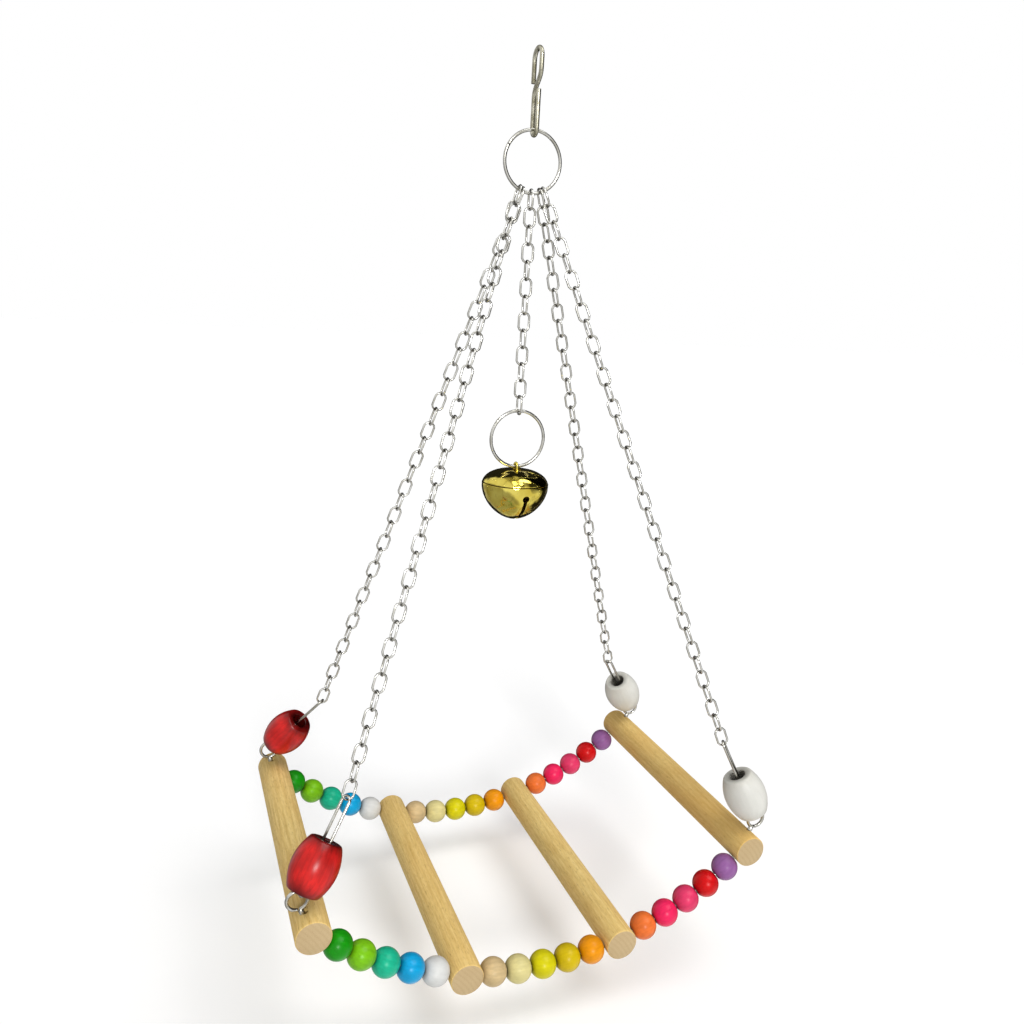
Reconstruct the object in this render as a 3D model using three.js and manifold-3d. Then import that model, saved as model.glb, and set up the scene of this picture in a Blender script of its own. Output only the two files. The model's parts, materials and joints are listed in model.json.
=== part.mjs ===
import * as THREE from "three";
import { mergeVertices } from "three/addons/utils/BufferGeometryUtils.js";
import Module from "manifold-3d";

const wasm = await Module();
wasm.setup();

// A small pet's hanging hammock: a rung deck of wooden dowels and beads on two bent wires, held up
// at its corners by four chains that meet in a ring on an S-hook, with a jingle bell in the middle.
// Sizes in millimetres. X runs along the deck, Y along the dowels, Z up, and the origin is where
// a cage bar bears inside the top of the hook.

// running clearance between pieces that touch
const gap = 0.3;

// hook
const hookWire = 1.6;
const hookHeight = 29.4;
const hookBend = 3.3;
const hookLowerBend = 2;
const hookCrossing = 11.1;
const hookUpperTip = 7.5;
const hookLowerTip = 12.5;

// rings: one on the hook, one above the bell
const ringWire = 1.2;
const ringOuter = 22;

// chain links
const chainWire = 0.8;
const linkPitch = 6;
const linkWidth = 4.8;
const linkShoulder = 1.9;
const cornerPairs = 18;
const bellPairs = 6;
const farStart = 3.4;
const startSpace = 0.4;

// long wire loops that carry the barrel beads
const loopWire = 1;
const loopPlay = 0.5;
const loopLength = 34.5;
const loopTurn = THREE.MathUtils.degToRad(30);

// how far the front left loop falls out of line with its chain, and the bearing that each loop
// falls to, in degrees from the front towards the right
const loopBend = THREE.MathUtils.degToRad(12);
const loopBearings = { front_left: 115, back_left: 50, front_right: -78, back_right: -74 };

// barrel beads
const barrelLength = 17.5;
const barrelMiddle = 16;
const barrelEnd = 11;
const barrelPlay = 0.9;

// screw eyes
const eyeWire = 1.2;
const eyeOuter = 8;
const eyeNeck = 1.2;
const eyeShank = 1.8;
const eyeDepth = 4.4;
const eyeInset = 6.6;

// how far each eye leans outward, in degrees: they are turned in by hand
const eyeLeans = { front_left: 23, back_left: 9, front_right: 28, back_right: 23 };

// deck
const dowelDiameter = 12;
const dowelLength = 115;
const dowelCount = 4;
const dowelChamfer = 0.5;
const deckRadius = 122;
const beadDiameter = 10;
const beadFlat = 0.35;
const beadSlack = 0.4;
const beadsPerSpan = 5;
const rowWire = 1.6;
const rowInset = 4;
const rowReach = 3;

// bell
const bellDiameter = 25;
const bellDome = 6.4;
const bellDomeFullness = 2.3;
const bellBowl = 12.7;
const bellBowlFullness = 1.8;
const bellWall = 0.6;
const bellLap = 1.2;
const bellSlot = 1.4;
const bellEye = 2.6;
const bellEyeDrop = 2.9;
const bellLoopWire = 1;
const bellLoopFoot = 2.2;
const clapperDiameter = 6;
const clapperFloat = 0.6;
const bellSides = 18;

const steel = { color: 0xb9b8b2, roughness: 0.32, metalness: 1 };
const brass = { color: 0xd9b23c, roughness: 0.22, metalness: 1 };
const beech = { color: 0xc8a468, roughness: 0.7, metalness: 0 };

// bead colours from the left outer dowel to the right one
const spanColours = [
  ["green", 0x179a09],
  ["lime", 0x88d118],
  ["teal", 0x22c6a2],
  ["blue", 0x0eabe0],
  ["white", 0xe6e6e3],
  ["natural", 0xd7b98c],
  ["cream", 0xe4de96],
  ["lemon", 0xe5de04],
  ["gold", 0xe2c506],
  ["amber", 0xf6a403],
  ["orange", 0xf37937],
  ["pink", 0xf82860],
  ["rose", 0xef3f6f],
  ["red", 0xd60c10],
  ["violet", 0x9b66a2],
];

const X = new THREE.Vector3(1, 0, 0);
const Y = new THREE.Vector3(0, 1, 0);
const Z = new THREE.Vector3(0, 0, 1);

const object = new THREE.Group();

function add(name, geometry, finish) {
  const mesh = new THREE.Mesh(geometry, new THREE.MeshStandardMaterial(finish));
  mesh.name = name;
  object.add(mesh);
  return mesh;
}

// joins and cuts
function solid(geometry) {
  const bare = geometry.clone();
  bare.deleteAttribute("normal");
  bare.deleteAttribute("uv");
  const merged = mergeVertices(bare, 1e-4);
  return new wasm.Manifold(
    new wasm.Mesh({
      numProp: 3,
      vertProperties: new Float32Array(merged.attributes.position.array),
      triVerts: new Uint32Array(merged.index.array),
    }),
  );
}

function geometryOf(body) {
  const mesh = body.getMesh();
  const geometry = new THREE.BufferGeometry();
  geometry.setAttribute("position", new THREE.BufferAttribute(mesh.vertProperties, 3));
  geometry.setIndex(new THREE.BufferAttribute(mesh.triVerts, 1));
  return geometry;
}

// a cylinder between two points, for shanks and for the holes that take them
function rod(from, to, diameter, sides) {
  const along = new THREE.Vector3().subVectors(to, from);
  const geometry = new THREE.CylinderGeometry(diameter / 2, diameter / 2, along.length(), sides);
  geometry.applyQuaternion(new THREE.Quaternion().setFromUnitVectors(Y, along.clone().normalize()));
  geometry.translate(...new THREE.Vector3().addVectors(from, to).multiplyScalar(0.5));
  return geometry;
}

// a round wire along a curve
function wireAlong(curve, diameter, steps, sides) {
  const section = new THREE.Shape();
  for (let i = 0; i < sides; i++) {
    const angle = (2 * Math.PI * i) / sides;
    const x = (diameter / 2) * Math.cos(angle);
    const y = (diameter / 2) * Math.sin(angle);
    if (i === 0) section.moveTo(x, y);
    else section.lineTo(x, y);
  }
  section.closePath();
  return new THREE.ExtrudeGeometry(section, { extrudePath: curve, steps, bevelEnabled: false });
}

// straight runs joined by bends, as a wire is bent on pins
class BentWire extends THREE.CurvePath {
  constructor(corners, bend) {
    super();
    let last = corners[0];
    for (let i = 1; i < corners.length - 1; i++) {
      const back = new THREE.Vector3().subVectors(corners[i - 1], corners[i]);
      const on = new THREE.Vector3().subVectors(corners[i + 1], corners[i]);
      const reach = Math.min(bend, back.length() / 2, on.length() / 2);
      const enter = corners[i].clone().addScaledVector(back.normalize(), reach);
      const leave = corners[i].clone().addScaledVector(on.normalize(), reach);
      this.add(new THREE.LineCurve3(last, enter));
      this.add(new THREE.QuadraticBezierCurve3(enter, corners[i], leave));
      last = leave;
    }
    this.add(new THREE.LineCurve3(last, corners[corners.length - 1]));
  }
}

// an arc in the plane of two unit vectors
class Arc extends THREE.Curve {
  constructor(centre, radius, across, up, from, to) {
    super();
    Object.assign(this, { centre, radius, across, up, from, to });
  }
  getPoint(t, target = new THREE.Vector3()) {
    const angle = this.from + (this.to - this.from) * t;
    return target
      .copy(this.centre)
      .addScaledVector(this.across, this.radius * Math.cos(angle))
      .addScaledVector(this.up, this.radius * Math.sin(angle));
  }
}

// places a piece modelled about the origin: its own x, y and z go along the three given vectors
function frameAt(origin, x, y, z) {
  return new THREE.Matrix4().makeBasis(x, y, z).setPosition(origin);
}

// hook
const hookTop = hookWire / 2;
const hookBottom = hookTop - (hookHeight - hookWire);

function hook() {
  const curve = new THREE.CurvePath();
  const upper = new THREE.Vector3(0, 0, hookTop - hookBend);
  const lower = new THREE.Vector3(0, 0, hookBottom + hookLowerBend);
  const at = (y, z) => new THREE.Vector3(0, y, z);
  const crossing = hookTop - hookCrossing;
  curve.add(new THREE.LineCurve3(at(hookBend, upper.z - hookUpperTip), at(hookBend, upper.z)));
  curve.add(new Arc(upper, hookBend, Y, Z, 0, Math.PI));
  const spineTop = at(-hookBend, upper.z - hookBend);
  const spineBottom = at(hookLowerBend, crossing + (crossing - spineTop.z));
  curve.add(new THREE.LineCurve3(at(-hookBend, upper.z), spineTop));
  curve.add(
    new THREE.CubicBezierCurve3(
      spineTop,
      at(-hookBend, crossing),
      at(hookLowerBend, crossing),
      spineBottom,
    ),
  );
  curve.add(new THREE.LineCurve3(spineBottom, at(hookLowerBend, lower.z)));
  curve.add(new Arc(lower, hookLowerBend, Y, Z, 0, -Math.PI));
  const tipTop = at(-hookLowerBend, lower.z + hookLowerTip);
  curve.add(new THREE.LineCurve3(at(-hookLowerBend, lower.z), tipTop));
  add("hook", wireAlong(curve, hookWire, 38, 6), steel);
}

// rings
const ringRadius = (ringOuter - ringWire) / 2;
const topRingCentre = hookBottom + hookWire / 2 + gap + ringWire / 2 - ringRadius;

function ring(name, centre) {
  const geometry = new THREE.TorusGeometry(ringRadius, ringWire / 2, 6, 24);
  geometry.rotateX(Math.PI / 2);
  geometry.translate(0, 0, centre);
  add(name, geometry, steel);
}

// where a chain leaves the ring's wire, x along the deck from the middle
function onRing(x) {
  return new THREE.Vector3(x, 0, topRingCentre - Math.sqrt(ringRadius ** 2 - x ** 2));
}

function ringTangent(x) {
  return new THREE.Vector3(Math.sqrt(ringRadius ** 2 - x ** 2), 0, x).normalize();
}

// An oval link lying in x and y, its long way along y. Its hole ends in a flat as wide as the wire
// is thick where the next link, a quarter turn round, seats on it, and in a wider one at a free end.
const linkThick = chainWire / 2;
const linkInside = linkPitch / 2;
const linkOutside = linkInside + chainWire;
const freeCrown = Math.max(ringWire, loopWire) / 2 + 2 * gap;
const cornerLinks = 2 * cornerPairs;
const bellLinks = 2 * bellPairs + 1;
const nearStart = farStart + chainWire + startSpace;

function linkShape(topSeated, bottomSeated) {
  const half = linkWidth / 2;
  const top = topSeated ? linkThick : freeCrown;
  const bottom = bottomSeated ? linkThick : freeCrown;
  const crown = (seated, side) => {
    const ends = seated ? [0] : [side * freeCrown, -side * freeCrown];
    return ends.map((x) => [x, side * linkOutside]);
  };
  const outline = [
    [half, -linkShoulder],
    [half, linkShoulder],
    ...crown(topSeated, 1),
    [-half, linkShoulder],
    [-half, -linkShoulder],
    ...crown(bottomSeated, -1),
  ];
  const hole = [
    [half - chainWire, 0],
    [top, linkInside],
    [-top, linkInside],
    [chainWire - half, 0],
    [-bottom, -linkInside],
    [bottom, -linkInside],
  ];
  return [outline, hole].map((loop) => loop.map(([x, y]) => new THREE.Vector2(x, y)));
}

// the corners of one link's triangles, without the seats that it shares with its neighbours
function linkCorners(matrix, topSeated, bottomSeated) {
  const [outline, hole] = linkShape(topSeated, bottomSeated);
  const at = (point, z) => new THREE.Vector3(point.x, point.y, z).applyMatrix4(matrix);
  const points = [...outline, ...hole];
  const found = [];
  for (const [i, j, k] of THREE.ShapeUtils.triangulateShape(outline, [hole])) {
    found.push(at(points[i], linkThick), at(points[j], linkThick), at(points[k], linkThick));
    found.push(at(points[i], -linkThick), at(points[k], -linkThick), at(points[j], -linkThick));
  }
  const wall = (from, to) => {
    found.push(at(from, -linkThick), at(to, -linkThick), at(to, linkThick));
    found.push(at(from, -linkThick), at(to, linkThick), at(from, linkThick));
  };
  outline.forEach((point, i) => wall(point, outline[(i + 1) % outline.length]));
  hole.forEach((point, i) => {
    const shared = (i === 1 && topSeated) || (i === 4 && bottomSeated);
    if (!shared) wall(hole[(i + 1) % hole.length], point);
  });
  return found;
}

// A chain that runs down from the inside of its first link's crown. Each link stands square to
// the one before it and is joined to it where their crowns bear on each other.
function chain(name, from, along, firstNormal, links) {
  const normal = firstNormal.clone().addScaledVector(along, -firstNormal.dot(along)).normalize();
  const up = along.clone().negate();
  const across = new THREE.Vector3().crossVectors(up, normal);
  const back = across.clone().negate();
  const faces = [];
  for (let i = 0; i < links; i++) {
    const centre = from.clone().addScaledVector(along, linkPitch * (i + 0.5));
    const matrix = i % 2 ? frameAt(centre, normal, up, back) : frameAt(centre, across, up, normal);
    faces.push(...linkCorners(matrix, i > 0, i < links - 1));
  }
  add(name, mergeVertices(new THREE.BufferGeometry().setFromPoints(faces), 1e-3), steel);
}

// deck
const beadLength = beadDiameter - 2 * beadFlat;
const spanLength = beadsPerSpan * beadLength + (beadsPerSpan + 1) * beadSlack + dowelDiameter;
const spanArc = spanLength / deckRadius;
const rowOffset = dowelLength / 2 - rowInset;
const eyeOffset = dowelLength / 2 - eyeInset;
const outerAngle = (spanArc * (dowelCount - 1)) / 2;
const eyeRadius = (eyeOuter - eyeWire) / 2;
const eyeRise = dowelDiameter / 2 + eyeNeck + eyeOuter / 2;
const loopWidth = eyeWire + 2 * (loopPlay + loopWire);
const barrelBore = loopWidth + 2 * barrelPlay;

// how deep the top of a screw eye stands in the mouth of the barrel bead that rests on it
const barrelSeat = eyeOuter / 2 - Math.sqrt((eyeOuter ** 2 - barrelBore ** 2) / 4) - gap;

// a place on the deck's arc, counted from its lowest point, before the deck is hung
function onArc(angle, y) {
  return new THREE.Vector3(deckRadius * Math.sin(angle), y, deckRadius * (1 - Math.cos(angle)));
}

// from the wire of a screw eye to the end of its chain, and on to the wire of the top ring
const loopReach = loopLength - 2 * loopWire - gap - eyeWire / 2 - gap;
const chainReach = linkPitch * cornerLinks - ringWire / 2 - gap;

const corners = [
  { name: "front_left", x: -1, y: -1, start: nearStart, finish: "red" },
  { name: "back_left", x: -1, y: 1, start: farStart, finish: "red" },
  { name: "front_right", x: 1, y: -1, start: nearStart, finish: "white" },
  { name: "back_right", x: 1, y: 1, start: farStart, finish: "white" },
];

// the way that a corner's screw eye points
function eyeDirection(corner) {
  const lean = THREE.MathUtils.degToRad(eyeLeans[corner.name]);
  return new THREE.Vector3(corner.x * Math.sin(lean), 0, Math.cos(lean));
}

// Where a corner's loop bears in its screw eye, and which way it points. The chain's length is
// fixed, so the nearer the eye is to the ring, the further the loop falls out of the straight line.
function cornerRun(corner, middle, givenBend) {
  const start = onRing(corner.x * corner.start);
  const bearing = THREE.MathUtils.degToRad(loopBearings[corner.name]);
  const fall = new THREE.Vector3(Math.sin(bearing), -Math.cos(bearing), 0);
  const up = new THREE.Vector3().subVectors(start, middle).normalize();
  const seat = new THREE.Vector3();
  for (let pass = 0; pass < 8; pass++) {
    seat.copy(up).setY(0).setLength(eyeRadius).add(middle);
    const line = new THREE.Vector3().subVectors(start, seat);
    const reach = line.length();
    line.normalize();
    const share = (reach ** 2 + loopReach ** 2 - chainReach ** 2) / (2 * reach * loopReach);
    const bend = givenBend ?? Math.acos(Math.min(share, 1));
    const side = fall.clone().addScaledVector(line, -fall.dot(line)).normalize();
    up.copy(line).multiplyScalar(Math.cos(bend)).addScaledVector(side, Math.sin(bend));
  }
  return { start, seat, up };
}

// the deck hangs so low that the front left chain is just taut
function hungDepth() {
  const corner = corners[0];
  const foot = onArc(corner.x * outerAngle, corner.y * eyeOffset);
  const eye = foot.addScaledVector(eyeDirection(corner), eyeRise);
  const aside = loopReach * Math.sin(loopBend);
  const hangLength = loopReach * Math.cos(loopBend) + Math.sqrt(chainReach ** 2 - aside ** 2);
  let level = -hangLength;
  for (let pass = 0; pass < 12; pass++) {
    const middle = eye.clone().addScaledVector(Z, level);
    const { start, seat } = cornerRun(corner, middle, loopBend);
    const flat = (seat.x - start.x) ** 2 + (seat.y - start.y) ** 2;
    level += start.z - Math.sqrt(hangLength ** 2 - flat) - seat.z;
  }
  return level;
}

const deckLevel = hungDepth();

function place(angle, y) {
  return onArc(angle, y).setZ(onArc(angle, y).z + deckLevel);
}

function dowelAngle(i) {
  return (i - (dowelCount - 1) / 2) * spanArc;
}

function tangentAt(angle) {
  return new THREE.Vector3(Math.cos(angle), 0, Math.sin(angle));
}

function dowel(i) {
  const angle = dowelAngle(i);
  const r = dowelDiameter / 2;
  const half = dowelLength / 2;
  const profile = [
    [0, -half],
    [r - dowelChamfer, -half],
    [r, -half + dowelChamfer],
    [r, half - dowelChamfer],
    [r - dowelChamfer, half],
    [0, half],
  ].map(([x, y]) => new THREE.Vector2(x, y));
  const centre = place(angle, 0);
  const bar = new THREE.LatheGeometry(profile, 16);
  bar.translate(...centre);
  let body = solid(bar);
  const tangent = tangentAt(angle);
  const outer = i === 0 || i === dowelCount - 1;
  const outward = i === 0 ? -1 : 1;
  for (const side of [-1, 1]) {
    const middle = place(angle, side * rowOffset);
    // the wires run through the inner dowels and end inside the outer ones
    const far = outer ? rowReach + gap : dowelDiameter;
    const from = middle.clone().addScaledVector(tangent, -outward * dowelDiameter);
    const to = middle.clone().addScaledVector(tangent, outward * far);
    body = body.subtract(solid(rod(from, to, rowWire + 2 * gap, 10)));
    if (!outer) continue;
    const lean = eyeDirection(corners.find((corner) => corner.x === outward && corner.y === side));
    const bottom = place(angle, side * eyeOffset).addScaledVector(lean, r - eyeDepth - gap);
    const mouth = bottom.clone().addScaledVector(lean, dowelDiameter);
    body = body.subtract(solid(rod(bottom, mouth, eyeShank + 2 * gap, 10)));
  }
  add(`dowel_${i + 1}`, geometryOf(body), beech);
}

// a bead is a ball with its bore's mouths cut flat
function beadGeometry() {
  const radius = beadDiameter / 2;
  const bore = rowWire / 2 + gap;
  const steps = 4;
  const cut = Math.asin(beadLength / 2 / radius);
  const profile = [new THREE.Vector2(bore, -beadLength / 2)];
  for (let i = 0; i <= steps; i++) {
    const angle = -cut + (2 * cut * i) / steps;
    profile.push(new THREE.Vector2(radius * Math.cos(angle), radius * Math.sin(angle)));
  }
  profile.push(new THREE.Vector2(bore, beadLength / 2));
  profile.push(profile[0].clone());
  return new THREE.LatheGeometry(profile, 8);
}

function beads() {
  const bead = beadGeometry();
  for (const [row, side] of [["front", -1], ["back", 1]]) {
    for (let i = 0; i < dowelCount - 1; i++) {
      for (let j = 0; j < beadsPerSpan; j++) {
        const run = dowelDiameter / 2 + beadSlack + beadLength / 2 + j * (beadLength + beadSlack);
        const angle = dowelAngle(i) + run / deckRadius;
        const number = i * beadsPerSpan + j;
        const [colour, value] = spanColours[number % spanColours.length];
        const below = new THREE.Vector3(Math.sin(angle), 0, -Math.cos(angle));
        const matrix = frameAt(place(angle, side * rowOffset), Y, tangentAt(angle), below);
        const name = `bead_${row}_${String(number + 1).padStart(2, "0")}_${colour}`;
        add(name, bead.clone().applyMatrix4(matrix), { color: value, roughness: 0.45, metalness: 0 });
      }
    }
  }
}

function rowWires() {
  const end = outerAngle + rowReach / deckRadius;
  for (const [row, side] of [["front", -1], ["back", 1]]) {
    const centre = place(0, side * rowOffset).addScaledVector(Z, deckRadius);
    const curve = new Arc(centre, deckRadius, X, Z, -Math.PI / 2 - end, -Math.PI / 2 + end);
    add(`row_wire_${row}`, wireAlong(curve, rowWire, 20, 6), steel);
  }
}

// screw eye, wire loop, barrel bead and chain of one corner
function cornerPieces(corner) {
  const lean = eyeDirection(corner);
  const foot = place(corner.x * outerAngle, corner.y * eyeOffset);
  const middle = foot.clone().addScaledVector(lean, eyeRise);
  const { start, seat, up } = cornerRun(corner, middle);

  const round = new THREE.TorusGeometry(eyeRadius, eyeWire / 2, 6, 14);
  round.applyMatrix4(frameAt(middle, new THREE.Vector3().crossVectors(lean, Y), lean, Y));
  const shankTop = middle.clone().addScaledVector(lean, -eyeRadius);
  const shankTip = foot.clone().addScaledVector(lean, dowelDiameter / 2 - eyeDepth);
  const eye = solid(round).add(solid(rod(shankTip, shankTop, eyeShank, 8)));
  add(`screw_eye_${corner.name}`, geometryOf(eye), steel);

  // the loop stands across the eye's wire, turned a little towards the front
  const across = new THREE.Vector3().crossVectors(Y, up).normalize();
  const width = new THREE.Vector3().crossVectors(up, across);
  width.applyAxisAngle(up, corner.x * corner.y * loopTurn);
  const normal = new THREE.Vector3().crossVectors(width, up);
  const low = seat.clone().addScaledVector(up, -((eyeWire + loopWire) / 2 + gap));
  const run = loopLength - loopWire;
  const loopMiddle = low.clone().addScaledVector(up, run / 2);
  const loop = wireLoop().applyMatrix4(frameAt(loopMiddle, width, up, normal));
  add(`wire_loop_${corner.name}`, loop, steel);

  const barrelCentre = seat.clone().addScaledVector(up, eyeWire / 2 - barrelSeat + barrelLength / 2);
  const barrel = barrelGeometry().applyMatrix4(frameAt(barrelCentre, width, up, normal));
  const paint = corner.finish === "red" ? 0xc4302c : 0xe9e8e4;
  add(`barrel_bead_${corner.name}`, barrel, { color: paint, roughness: 0.5, metalness: 0 });

  const chainFoot = seat.clone().addScaledVector(up, loopReach);
  const down = new THREE.Vector3().subVectors(chainFoot, start).normalize();
  const chainTop = chainFoot.clone().addScaledVector(down, -linkPitch * cornerLinks);
  const tangent = ringTangent(corner.x * corner.start);
  chain(`chain_${corner.name}`, chainTop, down, tangent, cornerLinks);
}

// a long loop of wire with round ends, lying in x and y
function wireLoop() {
  const outline = (r, path) => {
    const straight = loopLength / 2 - loopWidth / 2;
    path.absarc(0, straight, r, 0, Math.PI, false);
    path.absarc(0, -straight, r, Math.PI, 2 * Math.PI, false);
    path.closePath();
    return path;
  };
  const shape = outline(loopWidth / 2, new THREE.Shape());
  shape.holes.push(outline(loopWidth / 2 - loopWire, new THREE.Path()));
  const plain = { depth: loopWire, curveSegments: 5, bevelEnabled: false };
  const geometry = new THREE.ExtrudeGeometry(shape, plain);
  geometry.translate(0, 0, -loopWire / 2);
  return geometry;
}

function barrelGeometry() {
  const steps = 5;
  const profile = [new THREE.Vector2(barrelBore / 2, -barrelLength / 2)];
  for (let i = 0; i <= steps; i++) {
    const t = (2 * i) / steps - 1;
    const radius = barrelMiddle / 2 - ((barrelMiddle - barrelEnd) / 2) * t ** 2;
    profile.push(new THREE.Vector2(radius, (t * barrelLength) / 2));
  }
  profile.push(new THREE.Vector2(barrelBore / 2, barrelLength / 2));
  profile.push(profile[0].clone());
  return new THREE.LatheGeometry(profile, 12);
}

// bell: its ring hangs in the last link of the middle chain
const bellChainTop = onRing(0).z + ringWire / 2 + gap;
const bellChainEnd = bellChainTop - linkPitch * bellLinks;
const bellRingCentre = bellChainEnd + gap + ringWire / 2 - ringRadius;
const bellPivot = bellRingCentre - ringRadius;
const bellTop = bellPivot - ringWire / 2 - gap;
const bellSeam = bellTop - bellDome;
const bellLoopSpread = (ringWire + bellLoopWire) / 2 + gap;

// half of the bell's outline, from its pole to the seam
function bellCurve(radius, height, fullness, steps) {
  const points = [];
  for (let i = 0; i <= steps; i++) {
    const angle = ((Math.PI / 2) * i) / steps;
    const share = i === steps ? 0 : Math.cos(angle);
    const across = i === 0 ? 0 : (1 - share ** fullness) ** (1 / fullness);
    points.push(new THREE.Vector2(radius * across, height * share));
  }
  return points;
}

// The dome stands on the lower shell's rim, and its skirt reaches down inside that rim.
function upperShell() {
  const skirt = bellDiameter / 2 - bellWall - gap;
  const rim = bellLap + gap;
  const dome = bellCurve(bellDiameter / 2, bellDome, bellDomeFullness, 6);
  const outside = dome.filter((point) => point.y > rim);
  const inside = bellCurve(skirt - bellWall, bellDome - bellWall, bellDomeFullness, 5);
  const edge = (bellDiameter / 2) * (1 - (rim / bellDome) ** bellDomeFullness) ** (1 / bellDomeFullness);
  const profile = [
    ...inside,
    new THREE.Vector2(skirt, 0),
    new THREE.Vector2(skirt, rim),
    new THREE.Vector2(edge, rim),
    ...outside.reverse(),
  ];
  const shell = new THREE.LatheGeometry(profile, bellSides);
  shell.rotateX(Math.PI / 2);
  shell.translate(0, 0, bellSeam);
  let body = solid(shell);
  for (const side of [-1, 1]) {
    const from = new THREE.Vector3(0, side * bellLoopSpread, bellTop - 2 * bellWall);
    const to = new THREE.Vector3(0, side * bellLoopSpread, bellTop + bellWall);
    body = body.subtract(solid(rod(from, to, bellLoopWire + 2 * gap, 8)));
  }
  add("bell_upper_shell", geometryOf(body), brass);
}

function lowerShell() {
  const inner = bellDiameter / 2 - bellWall;
  const outside = bellCurve(bellDiameter / 2, -bellBowl, bellBowlFullness, 7);
  const inside = bellCurve(inner, bellWall - bellBowl, bellBowlFullness, 7);
  const profile = [
    ...outside,
    new THREE.Vector2(bellDiameter / 2, bellLap),
    new THREE.Vector2(inner, bellLap),
    ...inside.reverse(),
  ];
  const shell = new THREE.LatheGeometry(profile, bellSides);
  shell.rotateX(Math.PI / 2);
  shell.translate(0, 0, bellSeam);
  let body = solid(shell);
  // the slot runs under the bowl from front to back, and ends in a round eye on either side
  const slotTop = bellSeam - bellEyeDrop;
  const slot = new THREE.BoxGeometry(bellSlot, 2 * bellDiameter, bellBowl);
  slot.translate(0, 0, slotTop - bellBowl / 2);
  body = body.subtract(solid(slot));
  const from = new THREE.Vector3(0, -bellDiameter, slotTop);
  const to = new THREE.Vector3(0, bellDiameter, slotTop);
  body = body.subtract(solid(rod(from, to, bellEye, 10)));
  add("bell_lower_shell", geometryOf(body), brass);
}

function bellLoop() {
  const legs = bellLoopSpread;
  const under = bellTop - bellWall - gap - bellLoopWire / 2;
  const bend = bellLoopWire;
  const at = (y, z) => new THREE.Vector3(0, y, z);
  const curve = new THREE.CurvePath();
  const foot = (side) => [at(side * (legs + bellLoopFoot), under), at(side * legs, under)];
  const left = new BentWire([...foot(-1), at(-legs, bellPivot)], bend);
  const right = new BentWire([at(legs, bellPivot), ...foot(1).reverse()], bend);
  left.curves.forEach((part) => curve.add(part));
  curve.add(new Arc(at(0, bellPivot), legs, Y, Z, Math.PI, 0));
  right.curves.forEach((part) => curve.add(part));
  add("bell_loop", wireAlong(curve, bellLoopWire, 24, 5), brass);
}

function clapper() {
  const ball = new THREE.SphereGeometry(clapperDiameter / 2, 12, 7);
  ball.rotateX(Math.PI / 2);
  const rest = bellSeam - bellBowl + bellWall + clapperFloat + clapperDiameter / 2;
  ball.translate(0, 0, rest);
  add("bell_clapper", ball, steel);
}

hook();
ring("top_ring", topRingCentre);
corners.forEach(cornerPieces);
for (let i = 0; i < dowelCount; i++) dowel(i);
rowWires();
beads();
chain("bell_chain", new THREE.Vector3(0, 0, bellChainTop), Z.clone().negate(), X, bellLinks);
ring("bell_ring", bellRingCentre);
bellLoop();
upperShell();
lowerShell();
clapper();

export default object;
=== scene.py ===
import json
import random
from math import asin, cos, degrees, pi, radians, sin

import bmesh
import bpy
import numpy as np
from mathutils import Matrix, Vector


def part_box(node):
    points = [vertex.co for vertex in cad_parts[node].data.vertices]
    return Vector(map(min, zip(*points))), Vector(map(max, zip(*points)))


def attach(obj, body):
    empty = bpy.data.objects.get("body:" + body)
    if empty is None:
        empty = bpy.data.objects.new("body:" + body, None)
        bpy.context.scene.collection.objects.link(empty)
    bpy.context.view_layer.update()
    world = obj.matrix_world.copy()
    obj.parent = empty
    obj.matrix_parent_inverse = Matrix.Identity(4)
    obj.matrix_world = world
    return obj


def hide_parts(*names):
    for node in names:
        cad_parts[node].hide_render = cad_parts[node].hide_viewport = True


# a small pet's hanging hammock: X along the deck, Y along the dowels, Z up, in metres
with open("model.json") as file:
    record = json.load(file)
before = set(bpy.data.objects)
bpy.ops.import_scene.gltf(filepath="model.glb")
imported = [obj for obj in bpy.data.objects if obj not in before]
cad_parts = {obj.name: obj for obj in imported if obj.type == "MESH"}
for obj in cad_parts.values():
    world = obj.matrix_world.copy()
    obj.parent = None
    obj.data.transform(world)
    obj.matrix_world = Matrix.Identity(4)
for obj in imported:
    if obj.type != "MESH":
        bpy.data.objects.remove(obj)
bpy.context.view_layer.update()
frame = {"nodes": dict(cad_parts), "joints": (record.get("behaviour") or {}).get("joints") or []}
mm = 0.001
joints = {joint["name"]: joint for joint in frame["joints"]}
corners = ["front_left", "back_left", "front_right", "back_right"]
xAxis, yAxis, zAxis = Vector((1, 0, 0)), Vector((0, 1, 0)), Vector((0, 0, 1))
random.seed(7)
print("frame loaded,", len(frame["nodes"]), "nodes")


def addObject(name, data):
    made = bpy.data.objects.new(name, data)
    bpy.context.scene.collection.objects.link(made)
    return made


# turns a bmesh into a mesh, and frees it
def meshOf(bm, name="part"):
    mesh = bpy.data.meshes.new(name)
    bm.to_mesh(mesh)
    bm.free()
    return mesh


# camera, low and to the left of the front
camera = {
    "place": (-0.1229, -0.3098, -0.0834), "azimuth": 21.55, "elevation": 13.06, "roll": 3.14,
    "lens": 31.78, "sensor": 36, "nearest": 0.01,
}


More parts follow.
